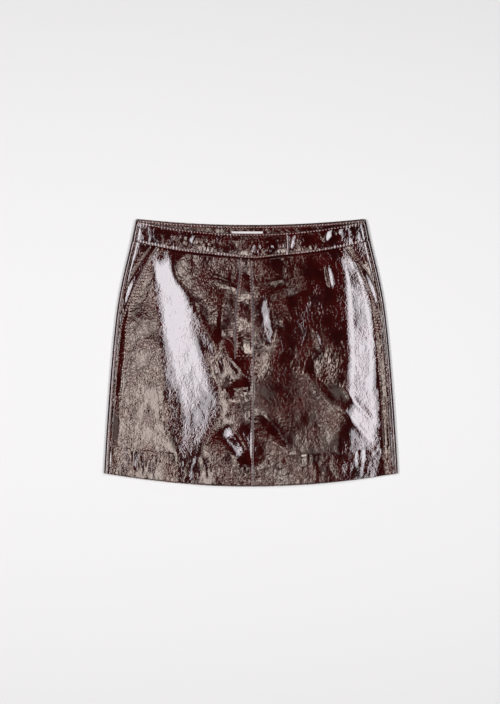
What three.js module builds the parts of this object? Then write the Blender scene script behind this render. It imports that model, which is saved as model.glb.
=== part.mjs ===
// A short A-line leather skirt, laid flat on its back with its front up. Sizes are in millimetres.
// X runs across the skirt, Y from hem to waist and Z up from the surface that it lies on.
// The origin lies on that surface, under the middle of the skirt.
import * as THREE from 'three';

// Walls
const leather = 1.2; // one layer of leather with its backing
const bandLeather = 2.0; // the front waistband, folded double
const labelCloth = 1.0;
const seamGap = 0.3; // between two pieces that are sewn edge to edge
const layerGap = 0.6; // between two pieces that lie on each other

// Side folds, where the back wraps round to the front
const seamInset = 8.5; // side seam, in from the outline
const foldBlend = 18; // width over which the front comes down to the fold

// Fly, tab and press stud
const fly = { bottom: -7.5, rise: 1.1, edge: 2.5 };
const shield = { left: -27, right: 16, bottom: -16 };
const tab = { end: 60, rampFrom: -62, rampTo: -12, underlap: 2 };
const bandLift = 0.5; // the band stands this far above the panels
const tabLift = bandLift + bandLeather + layerGap;
const stud = { x: 47.5, y: 170.4, radius: 5.6, height: 2.0 };

// Slanted pockets
const pocket = { mouth: 148, end: 33, bow: 1.5, under: 16, facingEnd: 40, stepWidth: 8 };

// Label inside the back of the waist
const label = { left: -31, right: 19, top: 194, bottom: 178 };

// Lines round the skirt: Y at the side fold, and how far the middle of the line hangs below that
const lines = {
  hemBack: { corner: -192.2, sag: 21.8, dip: 0 },
  hemFront: { corner: -192.2, sag: 20, dip: 0 },
  seamBack: { corner: 179, sag: 7, dip: 0 },
  seamFront: { corner: 179, sag: 25.5, dip: 3.5 },
  topBack: { corner: 214.4, sag: 10, dip: 0 },
  topFront: { corner: 210.5, sag: 21, dip: 0 },
};
const dipAt = { x: 4, width: 30 }; // where the tab pulls the waist seam down

// A table is a line of column names, and a row of numbers for each place.
const table = (columns, rows) => rows.map(
  (row) => Object.fromEntries(columns.map((key, k) => [key, row[k]])),
);

// Outline: half the width, and the radius of the side folds, from hem to waist
const outline = table(['y', 'half', 'fold'], [
  [-192, 235, 3.7],
  [-133, 231.5, 3.9],
  [-23, 223.5, 3.9],
  [54, 216, 3.9],
  [89, 211, 3.9],
  [124, 204, 4],
  [179, 191, 4.2],
  [214, 184, 4.2],
]);

// Fly: X of its left edge and of the centre front seam, which bend a little to the left at the top
const flyLines = table(['y', 'left', 'centre'], [
  [-214, -24, 3.2],
  [40, -24, 3],
  [78, -22.6, 2.4],
  [112, -18.8, 1.2],
  [130, -17, 0],
  [160, -19, -1.8],
]);

// Height of the front: a low left side, a rise to the middle, a slow fall to the right
// shoulder and a quicker fall to the low right side. Each "at" is the middle of a slope.
const sections = table(
  ['y', 'lowLeft', 'riseAt', 'riseWidth', 'middle', 'shoulder', 'fallAt', 'fallWidth', 'lowRight'],
  [
    [-214, 6.2, -94, 60, 9.6, 9.0, 178, 60, 5.6],
    [-150, 6.6, -97, 42, 10.6, 10.3, 174, 54, 5.8],
    [-95, 6.4, -82, 72, 15.2, 12.7, 179, 42, 6],
    [-63, 6.2, -88, 70, 15.8, 13.1, 178, 40, 6],
    [4, 6, -106, 56, 15.2, 12.4, 177, 36, 6],
    [84, 6.2, -124, 46, 13.8, 12.3, 171, 32, 6.2],
    [140, 8.3, -141, 28, 11.8, 11.6, 159, 26, 7.8],
    [165, 9, -136, 66, 11.3, 11.2, 150, 60, 8.8],
    [214, 8.6, -126, 90, 11, 11, 146, 90, 8.6],
  ],
);
const slopeRounding = 0.22; // share of a slope's width that is rounded at each end

// Soft folds of the front, each along a straight line, with a width on its left and its right
const folds = table(['x0', 'y0', 'x1', 'y1', 'left', 'right', 'height'], [
  [118, 150, 4, -52, 28, 32, 1.1], // the long one from the right hip to the centre
  [31, 98, 45, 12, 80, 18, 3.3], // beside the fly
  [-120, 152, -52, 62, 26, 24, 0.6], // below the left pocket
  [-60, 26, -6, -40, 14, 16, 1.6], // below the fly
  [-34, -62, 0, -56, 12, 12, -1.8], // a hollow at the centre seam
  [-34, -116, 2, -168, 22, 15, 2.6], // left of the centre, above the hem
  [60, -40, 120, -120, 38, 42, -1.2], // a hollow on the right
  [128, 120, 150, -60, 22, 30, 0.3], // along the right hip
]);
const foldEnds = 0.25; // share of a fold's length over which it fades at each end

const lerp = THREE.MathUtils.lerp;
const clamp = THREE.MathUtils.clamp;
const soft = (t) => THREE.MathUtils.smoothstep(t, 0, 1);

// A column of a table at y: a cubic through its rows. Its slope at a row is the mean of those beside it.
function column(rows, y, key) {
  const last = rows.length - 1;
  const at = clamp(y, rows[0].y, rows[last].y);
  let k = 0;
  while (k < last - 1 && at > rows[k + 1].y) k += 1;
  const step = (n) => (rows[n + 1][key] - rows[n][key]) / (rows[n + 1].y - rows[n].y);
  const slope = (n) => (step(Math.max(n - 1, 0)) + step(Math.min(n, last - 1))) / 2;
  const h = rows[k + 1].y - rows[k].y;
  const t = (at - rows[k].y) / h;
  const t2 = t * t;
  const t3 = t2 * t;
  return (2 * t3 - 3 * t2 + 1) * rows[k][key] + (t3 - 2 * t2 + t) * h * slope(k)
    + (3 * t2 - 2 * t3) * rows[k + 1][key] + (t3 - t2) * h * slope(k + 1);
}

const half = (y) => column(outline, y, 'half');
const foldRadius = (y) => column(outline, y, 'fold');
const flyLeft = (y) => column(flyLines, y, 'left');
const centreFront = (y) => column(flyLines, y, 'centre');

// A straight slope from 0 to 1 with rounded ends.
function slopeUp(t) {
  const area = (u) => (u < 0 ? 0 : u < 1 ? (u * u) / 2 : u - 0.5);
  return (area(t + slopeRounding) - area(t - slopeRounding)) / (2 * slopeRounding);
}

// The height that one fold adds at (x, y).
function foldHeight(fold, x, y) {
  const length = Math.hypot(fold.x1 - fold.x0, fold.y1 - fold.y0);
  const ux = (fold.x1 - fold.x0) / length;
  const uy = (fold.y1 - fold.y0) / length;
  const along = ((x - fold.x0) * ux + (y - fold.y0) * uy) / length;
  const across = (y - fold.y0) * ux - (x - fold.x0) * uy;
  const width = across > 0 ? fold.left : fold.right;
  const fadeIn = soft((along + foldEnds) / (2 * foldEnds));
  const fadeOut = soft((1 + foldEnds - along) / (2 * foldEnds));
  return fold.height * Math.exp(-((across / width) ** 2)) * fadeIn * fadeOut;
}

// Height of the outer face of the front at (x, y).
function frontHeight(x, y) {
  const c = (key) => column(sections, y, key);
  const middle = c('middle');
  const shoulder = c('shoulder');
  const crest = c('riseAt') + c('riseWidth') / 2;
  const edge = c('fallAt') - c('fallWidth') / 2;
  let z = lerp(c('lowLeft'), middle, slopeUp((x - c('riseAt')) / c('riseWidth') + 0.5));
  z -= (middle - shoulder) * soft((x - crest) / (edge - crest));
  z -= (shoulder - c('lowRight')) * slopeUp((x - c('fallAt')) / c('fallWidth') + 0.5);
  for (const fold of folds) z += foldHeight(fold, x, y);
  const radius = foldRadius(y);
  const fromFold = half(y) - radius - Math.abs(x);
  return lerp(2 * radius, z, soft(fromFold / foldBlend));
}

// A line partway between two lines, and its Y at x.
function lineBetween(low, high, share) {
  return {
    corner: lerp(low.corner, high.corner, share),
    sag: lerp(low.sag, high.sag, share),
    dip: lerp(low.dip, high.dip, share),
  };
}

function lineY(line, x) {
  const s = clamp(x / half(line.corner), -1, 1);
  const dip = line.dip * Math.exp(-(((x - dipAt.x) / dipAt.width) ** 2));
  return line.corner - line.sag * (1 - s * s) - dip;
}

// A closed wall. point(i, j) is its outer face at column i and row j, and the face that
// looks out has columns to its right and rows up, or the other way round if it is turned.
function wall(columns, rows, thickness, point, turned = false) {
  const outer = [];
  for (let j = 0; j <= rows; j += 1) {
    for (let i = 0; i <= columns; i += 1) outer.push(point(i, j));
  }
  const at = (i, j) => clamp(j, 0, rows) * (columns + 1) + clamp(i, 0, columns);
  const inner = outer.map((p, n) => {
    const i = n % (columns + 1);
    const j = Math.floor(n / (columns + 1));
    const across = outer[at(i + 1, j)].clone().sub(outer[at(i - 1, j)]);
    const up = outer[at(i, j + 1)].clone().sub(outer[at(i, j - 1)]);
    const out = across.cross(up).normalize();
    return p.clone().addScaledVector(out, turned ? thickness : -thickness);
  });
  const count = outer.length;
  const index = [];
  const quad = (a, b, c, d) => (turned ? index.push(a, c, b, a, d, c) : index.push(a, b, c, a, c, d));
  for (let j = 0; j < rows; j += 1) {
    for (let i = 0; i < columns; i += 1) {
      const [a, b, c, d] = [at(i, j), at(i + 1, j), at(i + 1, j + 1), at(i, j + 1)];
      quad(a, b, c, d);
      quad(d + count, c + count, b + count, a + count);
    }
  }
  for (let i = 0; i < columns; i += 1) {
    const [a, b, c, d] = [at(i, 0), at(i + 1, 0), at(i + 1, rows), at(i, rows)];
    quad(a, a + count, b + count, b);
    quad(c, c + count, d + count, d);
  }
  for (let j = 0; j < rows; j += 1) {
    const [a, b, c, d] = [at(0, j), at(columns, j), at(columns, j + 1), at(0, j + 1)];
    quad(d, d + count, a + count, a);
    quad(b, b + count, c + count, c);
  }
  const geometry = new THREE.BufferGeometry();
  const places = [...outer, ...inner].flatMap((p) => p.toArray());
  geometry.setAttribute('position', new THREE.Float32BufferAttribute(places, 3));
  geometry.setIndex(index);
  geometry.computeVertexNormals();
  return geometry;
}

// Shares from 0 to 1 in equal steps.
const shares = (steps) => Array.from({ length: steps + 1 }, (_, k) => k / steps);

// Rows of the panels, as shares of the way from hem to waist seam. Two are close, where the fly ends.
const frontLow = lineY(lines.hemFront, 0);
const shareAt = (y) => (y - frontLow) / (lineY(lines.seamFront, 0) - frontLow);
const halfRows = 14;
const panelRows = [
  ...shares(halfRows).map((s) => lerp(0, shareAt(fly.bottom - fly.edge), s)),
  ...shares(halfRows).map((s) => lerp(shareAt(fly.bottom), 1, s)),
];

// A panel's line at a share of the way from hem to waist seam. The last one stops short of the seam.
function panelLine(share) {
  const line = lineBetween(lines.hemFront, lines.seamFront, share);
  if (share === 1) line.corner -= seamGap;
  return line;
}

const seamX = (line) => half(line.corner) - seamInset;

// X of the pocket mouth at y, on the right side. It meets the side seam at its end.
function pocketX(y) {
  const top = lineY(lines.seamFront, pocket.mouth);
  const down = clamp((top - y) / (top - pocket.end), 0, 1);
  const end = half(pocket.end) - seamInset;
  return pocket.mouth + (end - pocket.mouth) * (1 - (1 - down) ** pocket.bow);
}

// X where a front panel ends at its side: at the mouth above the pocket's end, at the side seam below it.
function panelEdge(line) {
  const seam = seamX(line);
  let x = seam;
  for (let n = 0; n < 8; n += 1) {
    const y = lineY(line, x);
    x = y > pocket.end ? Math.min(seam, pocketX(y)) : seam;
  }
  return x - seamGap / 2;
}

function flyLift(x, y) {
  const across = soft((x - flyLeft(y) + fly.edge) / fly.edge);
  const up = soft((y - fly.bottom + fly.edge) / fly.edge);
  return fly.rise * across * up;
}

// Columns of the left front at the fly, from just outside its left edge to the centre front seam.
const flyColumns = (y) => [
  flyLeft(y) - fly.edge,
  flyLeft(y) - fly.edge / 2,
  flyLeft(y),
  (flyLeft(y) + centreFront(y)) / 2,
  centreFront(y) - seamGap / 2,
];

function frontLeft() {
  const sideColumns = 15;
  const point = (i, j) => {
    const line = panelLine(panelRows[j]);
    const atFly = flyColumns(lineY(line, 0));
    const toFly = lerp(-panelEdge(line), atFly[0], i / sideColumns);
    const x = i < sideColumns ? toFly : atFly[i - sideColumns];
    const y = lineY(line, x);
    return new THREE.Vector3(x, y, frontHeight(x, y) + flyLift(x, y));
  };
  return wall(sideColumns + 4, panelRows.length - 1, leather, point);
}

function frontRight() {
  const columns = 18;
  const point = (i, j) => {
    const line = panelLine(panelRows[j]);
    const inner = centreFront(lineY(line, 0)) + seamGap / 2;
    const x = lerp(inner, panelEdge(line), i / columns);
    const y = lineY(line, x);
    return new THREE.Vector3(x, y, frontHeight(x, y));
  };
  return wall(columns, panelRows.length - 1, leather, point);
}

// The strip behind the fly opening, under both front panels.
function flyShield() {
  const rows = 14;
  const columns = 4;
  const top = lineBetween(lines.hemFront, lines.seamFront, 0.99);
  const point = (i, j) => {
    const x = lerp(shield.left, shield.right, i / columns);
    const y = lerp(shield.bottom, lineY(top, x), j / rows);
    return new THREE.Vector3(x, y, frontHeight(x, y) - leather - layerGap);
  };
  return wall(columns, rows, leather, point);
}

// The side piece that shows inside a pocket mouth. It runs on under the front panel.
function pocketFacing(side) {
  const rows = 12;
  const columns = 10;
  const { hemFront, seamFront } = lines;
  const lowest = (pocket.facingEnd - hemFront.corner) / (seamFront.corner - hemFront.corner);
  const point = (i, j) => {
    const line = panelLine(lerp(lowest, 1, j / rows));
    const outer = seamX(line) - seamGap;
    const mouth = pocketX(lineY(line, panelEdge(line)));
    const across = lerp(mouth - pocket.under, outer, i / columns);
    const x = side * across;
    const y = lineY(line, x);
    const step = 1 - soft((across - mouth) / pocket.stepWidth);
    return new THREE.Vector3(x, y, frontHeight(x, y) - (leather + layerGap) * step);
  };
  return wall(columns, rows, leather, point, side < 0);
}

// Stations round the back: from the left side seam round the fold, across the bottom and up to
// the right seam. On a fold, 90 degrees is its top and -90 its bottom.
const foldAngles = [90, 60, 30, 0, -30, -60, -90];
const bottomSteps = 8;
const stations = [
  { side: -1, seam: true },
  ...foldAngles.map((angle) => ({ side: -1, angle })),
  ...shares(bottomSteps).slice(1, -1).map((share) => ({ share })),
  ...foldAngles.toReversed().map((angle) => ({ side: 1, angle })),
  { side: 1, seam: true },
];

// A point of the outer face at a station. back and front are the same line on either side of the fold.
function roundPoint(station, back, front, lift = 0) {
  const w = half(back.corner);
  const radius = foldRadius(back.corner);
  if (station.share !== undefined) {
    const x = lerp(radius - w, w - radius, station.share);
    return new THREE.Vector3(x, lineY(back, x), 0);
  }
  if (station.seam) {
    const x = station.side * (seamX(front) + seamGap / 2);
    const y = lineY(front, x);
    return new THREE.Vector3(x, y, frontHeight(x, y) + lift);
  }
  const a = THREE.MathUtils.degToRad(station.angle);
  const x = station.side * (w - radius + radius * Math.cos(a));
  const toFront = soft((station.angle + 90) / 180);
  const y = lerp(lineY(back, x), lineY(front, x), toFront);
  return new THREE.Vector3(x, y, radius + (radius + lift * Math.max(Math.sin(a), 0)) * Math.sin(a));
}

function backPanel() {
  const point = (i, j) => {
    const share = panelRows[j];
    const back = lineBetween(lines.hemBack, lines.seamBack, share);
    if (share === 1) back.corner -= seamGap;
    return roundPoint(stations[i], back, panelLine(share));
  };
  return wall(stations.length - 1, panelRows.length - 1, leather, point, true);
}

// Waistband
const bandRows = 4;
const bandLine = (share) => lineBetween(lines.seamFront, lines.topFront, share);

function bandLeft() {
  const columns = 30;
  const point = (i, j) => {
    const line = bandLine(j / bandRows);
    const x = lerp(seamGap / 2 - seamX(line), tab.end, i / columns);
    const y = lineY(line, x);
    const lift = lerp(bandLift, tabLift, soft((x - tab.rampFrom) / (tab.rampTo - tab.rampFrom)));
    return new THREE.Vector3(x, y, frontHeight(x, y) + lift);
  };
  return wall(columns, bandRows, bandLeather, point);
}

function bandRight() {
  const columns = 18;
  const point = (i, j) => {
    const line = bandLine(j / bandRows);
    const x = lerp(tab.underlap, seamX(line) - seamGap / 2, i / columns);
    const y = lineY(line, x);
    return new THREE.Vector3(x, y, frontHeight(x, y) + bandLift);
  };
  return wall(columns, bandRows, bandLeather, point);
}

function bandBack() {
  const point = (i, j) => {
    const share = j / bandRows;
    const back = lineBetween(lines.seamBack, lines.topBack, share);
    return roundPoint(stations[i], back, bandLine(share), bandLift);
  };
  return wall(stations.length - 1, bandRows, leather, point, true);
}

// The inner layer of the back of the waistband, which shows above the front one.
function bandFacing() {
  const columns = 16;
  const lowest = lineBetween(lines.seamBack, lines.topBack, 0.08);
  const highest = lineBetween(lines.seamBack, lines.topBack, 0.97);
  const point = (i, j) => {
    const line = lineBetween(lowest, highest, j / bandRows);
    const reach = half(line.corner) - foldRadius(line.corner) - layerGap;
    const x = lerp(-reach, reach, i / columns);
    return new THREE.Vector3(x, lineY(line, x), 2 * leather + seamGap);
  };
  return wall(columns, bandRows, leather, point);
}

function waistLabel() {
  const point = (i, j) => new THREE.Vector3(
    lerp(label.left, label.right, i),
    lerp(label.bottom, label.top, j),
    2 * leather + 2 * seamGap + labelCloth,
  );
  return wall(1, 1, labelCloth, point);
}

// The cap of the press stud, a low dome with a rolled edge.
function studCap() {
  const { radius, height } = stud;
  const profile = [
    new THREE.Vector2(0, 0),
    new THREE.Vector2(radius * 0.9, 0),
    new THREE.Vector2(radius, height * 0.25),
    new THREE.Vector2(radius * 0.94, height * 0.55),
    new THREE.Vector2(radius * 0.72, height * 0.8),
    new THREE.Vector2(radius * 0.4, height * 0.96),
    new THREE.Vector2(0, height),
  ];
  return new THREE.LatheGeometry(profile, 20);
}

const look = (name, color, roughness, metalness) => (
  new THREE.MeshStandardMaterial({ name, color, roughness, metalness })
);
const looks = {
  leather: look('oxblood_patent_leather', '#3c0c0c', 0.22, 0),
  label: look('white_satin_ribbon', '#f2f0ec', 0.5, 0),
  stud: look('oxblood_enamelled_brass', '#43181a', 0.2, 0.4),
};

const skirt = new THREE.Group();

function add(name, geometry, material = looks.leather) {
  const mesh = new THREE.Mesh(geometry, material);
  mesh.name = name;
  skirt.add(mesh);
  return mesh;
}

add('front_left', frontLeft());
add('front_right', frontRight());
add('fly_shield', flyShield());
add('pocket_facing_left', pocketFacing(-1));
add('pocket_facing_right', pocketFacing(1));
add('back_panel', backPanel());
add('waistband_front_left', bandLeft());
add('waistband_front_right', bandRight());
add('waistband_back', bandBack());
add('waistband_facing', bandFacing());
add('waist_label', waistLabel(), looks.label);

// The cap lies square to the tab under it.
const cap = add('stud_cap', studCap(), looks.stud);
const tabTop = (x, y) => frontHeight(x, y) + tabLift;
const tilt = new THREE.Vector3(
  tabTop(stud.x - 1, stud.y) - tabTop(stud.x + 1, stud.y),
  tabTop(stud.x, stud.y - 1) - tabTop(stud.x, stud.y + 1),
  2,
).normalize();
cap.quaternion.setFromUnitVectors(new THREE.Vector3(0, 1, 0), tilt);
cap.position.set(stud.x, stud.y, tabTop(stud.x, stud.y)).addScaledVector(tilt, seamGap);

export default skirt;
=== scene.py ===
# Looks for a short leather skirt that lies flat on its back. Sizes in the tables are millimetres.
import math
import bpy
import numpy as np
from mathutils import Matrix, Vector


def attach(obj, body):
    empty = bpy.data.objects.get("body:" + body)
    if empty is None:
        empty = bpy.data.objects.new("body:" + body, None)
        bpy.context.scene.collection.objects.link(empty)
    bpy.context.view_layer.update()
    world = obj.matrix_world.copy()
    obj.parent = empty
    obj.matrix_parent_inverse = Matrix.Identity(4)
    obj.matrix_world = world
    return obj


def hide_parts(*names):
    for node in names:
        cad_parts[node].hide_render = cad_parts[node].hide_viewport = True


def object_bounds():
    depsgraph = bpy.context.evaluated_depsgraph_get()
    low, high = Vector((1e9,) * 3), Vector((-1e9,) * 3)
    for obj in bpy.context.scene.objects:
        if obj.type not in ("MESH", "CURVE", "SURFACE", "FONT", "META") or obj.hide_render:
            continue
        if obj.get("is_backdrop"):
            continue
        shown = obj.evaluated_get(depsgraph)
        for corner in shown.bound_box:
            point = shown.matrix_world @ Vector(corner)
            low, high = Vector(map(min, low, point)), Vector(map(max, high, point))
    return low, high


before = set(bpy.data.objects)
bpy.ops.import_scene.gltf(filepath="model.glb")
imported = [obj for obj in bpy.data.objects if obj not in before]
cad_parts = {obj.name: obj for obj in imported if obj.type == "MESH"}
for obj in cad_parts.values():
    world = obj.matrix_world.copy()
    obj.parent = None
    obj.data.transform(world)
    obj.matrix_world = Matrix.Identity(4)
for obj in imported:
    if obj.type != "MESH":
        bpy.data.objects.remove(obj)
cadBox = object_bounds()
print("frame loaded")


# Form of the cloth, as in the solids

form = {
    "leather": 1.2,
    "band": 2.0,
    "label": 1.0,
    "seamGap": 0.3,
    "layerGap": 0.6,
    "seamInset": 8.5,
    "cornerRise": 1.6,
    "foldBlend": 18,
    "slopeRounding": 0.22,
    "foldEnds": 0.25,
}


def table(names, rows):
    return dict(zip(names, np.array(rows, float).T))


outline = table(("y", "half", "fold"), [
    (-192, 235, 3.7),
    (-133, 231.5, 3.9),
    (-23, 223.5, 3.9),
    (54, 216, 3.9),
    (89, 211, 3.9),
    (124, 204, 4),
    (179, 191, 4.2),
    (214, 184, 4.2),
])

sections = table(
    ("y", "lowLeft", "riseAt", "riseWidth", "middle", "shoulder", "fallAt", "fallWidth", "lowRight"),
    [
        (-214, 6.2, -94, 60, 9.6, 9.0, 178, 60, 5.6),
        (-150, 6.6, -97, 42, 10.6, 10.3, 174, 54, 5.8),
        (-95, 6.4, -82, 72, 15.2, 12.7, 179, 42, 6),
        (-63, 6.2, -88, 70, 15.8, 13.1, 178, 40, 6),
        (4, 6, -106, 56, 15.2, 12.4, 177, 36, 6),
        (84, 6.2, -124, 46, 13.8, 12.3, 171, 32, 6.2),
        (140, 8.3, -141, 28, 11.8, 11.6, 159, 26, 7.8),
        (165, 9, -136, 66, 11.3, 11.2, 150, 60, 8.8),
        (214, 8.6, -126, 90, 11, 11, 146, 90, 8.6),
    ],
)

ridgeColumns = ("x0", "y0", "x1", "y1", "left", "right", "height")
folds = table(ridgeColumns, [
    (118, 150, 4, -52, 28, 32, 1.1),  # the long one from the right hip to the centre
    (31, 98, 45, 12, 80, 18, 3.3),  # beside the fly
    (-120, 152, -52, 62, 26, 24, 0.6),  # below the left pocket
    (-60, 26, -6, -40, 14, 16, 1.6),  # below the fly
    (-34, -62, 0, -56, 12, 12, -1.8),  # a hollow at the centre seam
    (-34, -116, 2, -168, 22, 15, 2.6),  # left of the centre, above the hem
    (60, -40, 120, -120, 38, 42, -1.2),  # a hollow on the right
    (128, 120, 150, -60, 22, 30, 0.3),  # along the right hip
])

flyLines = table(("y", "left", "centre"), [
    (-214, -24, 3.2),
    (40, -24, 3),
    (78, -22.6, 2.4),
    (112, -18.8, 1.2),
    (130, -17, 0),
    (160, -19, -1.8),
])

# corner is Y at the side fold, sag how far the middle hangs below it, dip a pull under the tab
lines = {
    "hemBack": (-192.2, 21.8, 0),
    "hemFront": (-192.2, 20, 0),
    "seamBack": (179, 7, 0),
    "seamFront": (179, 25.5, 3.5),
    "topBack": (214.4, 10, 0),
    "topFront": (210.5, 21, 0),
}
dipAt = {"x": 4, "width": 30}

# Finer creases of the front, pressed into the folds
creases = table(ridgeColumns, [
    (-62, 116, -26, 104, 6, 5, 0.7),  # at the waist, left of the fly
    (-84, 60, -44, -20, 6, 7, 0.7),  # beside the long left slope
    (-40, -2, -10, -36, 6, 5, 0.45),  # below the fly
    (-40, -64, -4, -62, 4, 5, 0.6),  # across the hollow at the centre seam
    (-152, 30, -140, -140, 14, 60, -0.5),  # the toe of the long left slope
    (28, 92, 38, 8, 14, 10, 0.3),  # the streak on the right of the fly
    (-30, -122, -4, -162, 12, 12, 0.9),  # on the ridge above the hem
    (121, 136, 127, 106, 4, 4, 0.8),  # below the right end of the band
    (100, 36, 111, 6, 2.6, 3, 0.5),  # a short one in the middle of the right front
    (150, -60, 196, -112, 5, 5, 0.5),  # two across the right slope
    (140, -84, 190, -140, 5, 6, 0.5),
    (-44, 84, -52, -30, 6, 6, -0.6),  # a hollow left of the fly
    (20, -96, 60, -150, 8, 7, 0.5),  # right of the centre, above the hem
    (86, -30, 130, -84, 7, 8, 0.5),  # in the hollow on the right
])


def soft(t):
    t = np.clip(t, 0, 1)
    return t * t * (3 - 2 * t)


def mix(a, b, t):
    return a + (b - a) * t


def column(rows, y, key):
    # a cubic through the rows, whose slope at a row is the mean of those beside it
    at, value = rows["y"], rows[key]
    if at[0] > at[-1]:
        at, value = at[::-1], value[::-1]
    step = np.diff(value) / np.diff(at)
    slope = (np.append(step[:1], step) + np.append(step, step[-1:])) / 2
    y = np.clip(y, at[0], at[-1])
    k = np.clip(np.searchsorted(at, y, side="right") - 1, 0, len(at) - 2)
    h = at[k + 1] - at[k]
    t = (y - at[k]) / h
    t2, t3 = t**2, t**3
    return (
        (2 * t3 - 3 * t2 + 1) * value[k]
        + (t3 - 2 * t2 + t) * h * slope[k]
        + (3 * t2 - 2 * t3) * value[k + 1]
        + (t3 - t2) * h * slope[k + 1]
    )


def half(y):
    return column(outline, y, "half")


def foldRadius(y):
    return column(outline, y, "fold")


def flyLeft(y):
    return column(flyLines, y, "left")


def centreFront(y):
    return column(flyLines, y, "centre")


def slopeUp(t):
    e = form["slopeRounding"]
    area = lambda u: np.where(u < 0, 0, np.where(u < 1, u * u / 2, u - 0.5))
    return (area(t + e) - area(t - e)) / (2 * e)


def ridges(rows, x, y):
    e = form["foldEnds"]
    z = 0
    for x0, y0, x1, y1, left, right, height in zip(*rows.values()):
        length = math.hypot(x1 - x0, y1 - y0)
        ux, uy = (x1 - x0) / length, (y1 - y0) / length
        along = ((x - x0) * ux + (y - y0) * uy) / length
        across = (y - y0) * ux - (x - x0) * uy
        width = np.where(across > 0, left, right)
        fade = soft((along + e) / (2 * e)) * soft((1 + e - along) / (2 * e))
        z = z + height * np.exp(-((across / width) ** 2)) * fade
    return z


def ripples(x, y, size, seed, stretch=1.0, turn=0.0):
    # smooth random waves, -1 to 1; size is a wave's length in mm, and turn the direction they run in
    a = math.radians(turn)
    u = (x * math.cos(a) + y * math.sin(a)) / size * 2
    v = (y * math.cos(a) - x * math.sin(a)) / (size * stretch) * 2
    knots = np.random.default_rng(seed).uniform(-1, 1, (101, 103))
    iu, iv = np.floor(u).astype(int), np.floor(v).astype(int)
    fu, fv = soft(u - iu), soft(v - iv)
    at = lambda i, j: knots[(iu + i) % 101, (iv + j) % 103]
    return mix(mix(at(0, 0), at(1, 0), fu), mix(at(0, 1), at(1, 1), fu), fv)


def frontForm(x, y):
    c = lambda key: column(sections, y, key)
    middle, shoulder = c("middle"), c("shoulder")
    crest = c("riseAt") + c("riseWidth") / 2
    edge = c("fallAt") - c("fallWidth") / 2
    z = mix(c("lowLeft"), middle, slopeUp((x - c("riseAt")) / c("riseWidth") + 0.5))
    z = z - (middle - shoulder) * soft((x - crest) / (edge - crest))
    z = z - (shoulder - c("lowRight")) * slopeUp((x - c("fallAt")) / c("fallWidth") + 0.5)
    z = z + ridges(folds, x, y)
    radius = foldRadius(y)
    return mix(2 * radius, z, soft((half(y) - radius - np.abs(x)) / form["foldBlend"]))


waviness = {
    "broad": 0.26,
    "broadSize": 58,
    "middle": 0.085,
    "middleSize": 20,
    "small": 0.03,
    "smallSize": 8,
}


def skin(x, y):
    # the front's outer face with its creases, before any seam
    w = waviness
    wave = (
        w["broad"] * ripples(x, y, w["broadSize"], 11, 1.5)
        + w["middle"] * ripples(x, y, w["middleSize"], 12, 1.7)
        + w["small"] * ripples(x, y, w["smallSize"], 13, 1.8)
    )
    radius = foldRadius(y)
    inside = soft((half(y) - radius - np.abs(x)) / form["foldBlend"])
    return frontForm(x, y) + (ridges(creases, x, y) + wave) * inside


def lineBetween(low, high, share):
    return [mix(a, b, share) for a, b in zip(low, high)]


def lineY(line, x):
    corner, sag, dip = line
    s = np.clip(x / half(corner), -1, 1)
    pull = dip * np.exp(-(((x - dipAt["x"]) / dipAt["width"]) ** 2))
    return corner - sag * (1 - s * s) - pull


def seamX(line):
    return half(line[0]) - form["seamInset"]


def toSideSeam(x, y):
    # a line across the skirt passes the side seam a little below its corner
    return half(y + form["cornerRise"]) - form["seamInset"] - np.abs(x)


# Meshes

def spaced(length, step, fine=None, reach=6):
    # places from 0 to length that lie closer near its ends
    fine = fine or step
    near = [0]
    while near[-1] < reach:
        near.append(near[-1] + mix(fine, step, near[-1] / reach))
    low = np.array(near[:-1])
    high = length - low[::-1]
    count = max(2, round((high[0] - low[-1]) / step))
    middle = np.linspace(low[-1], high[0], count + 1)[1:-1]
    return np.concatenate([low, middle, high])


def spread(length, step, fine=None, reach=6):
    # the same places as shares of the length
    return spaced(length, step, fine, reach=reach) / length


def normals(points, turned=False):
    across = np.gradient(points, axis=1)
    up = np.gradient(points, axis=0)
    out = np.cross(across, up)
    out /= np.linalg.norm(out, axis=2, keepdims=True)
    return -out if turned else out


def wallMesh(name, outer, base, thickness, cloth, turned=False):
    # a closed wall: outer is its worked outer face, and the inner one lies under base
    inner = base - normals(base, turned) * thickness
    rows, columns = outer.shape[:2]
    count = rows * columns
    at = np.arange(count).reshape(rows, columns)
    a, b, c, d = at[:-1, :-1], at[:-1, 1:], at[1:, 1:], at[1:, :-1]
    quads = [np.stack([a, b, c, d], -1).reshape(-1, 4)]
    quads.append(np.stack([d, c, b, a], -1).reshape(-1, 4) + count)
    ring = np.concatenate([at[0, :], at[1:, -1], at[-1, -2::-1], at[-2:0:-1, 0]])
    after = np.roll(ring, -1)
    quads.append(np.stack([after, ring, ring + count, after + count], -1))
    quads = np.concatenate(quads)
    if turned:
        quads = quads[:, ::-1]
    mesh = bpy.data.meshes.new(name)
    places = np.concatenate([outer.reshape(-1, 3), inner.reshape(-1, 3)]) * 0.001
    mesh.from_pydata(places.tolist(), [], quads.tolist())
    uv = mesh.uv_layers.new(name="cloth")
    spots = np.concatenate([cloth.reshape(-1, 2)] * 2) * 0.001
    corners = np.empty(len(mesh.loops), int)
    mesh.loops.foreach_get("vertex_index", corners)
    uv.data.foreach_set("uv", spots[corners].ravel())
    mesh.polygons.foreach_set("use_smooth", np.ones(len(mesh.polygons), bool))
    mesh.set_sharp_from_angle(angle=math.radians(60))
    mesh.update()
    piece = bpy.data.objects.new(name, mesh)
    bpy.context.collection.objects.link(piece)
    return piece


def stack(x, y, z):
    return np.stack(np.broadcast_arrays(x, y, z), -1).astype(float)


def clothAt(x, y):
    return stack(x, y, 0)[..., :2]


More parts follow.
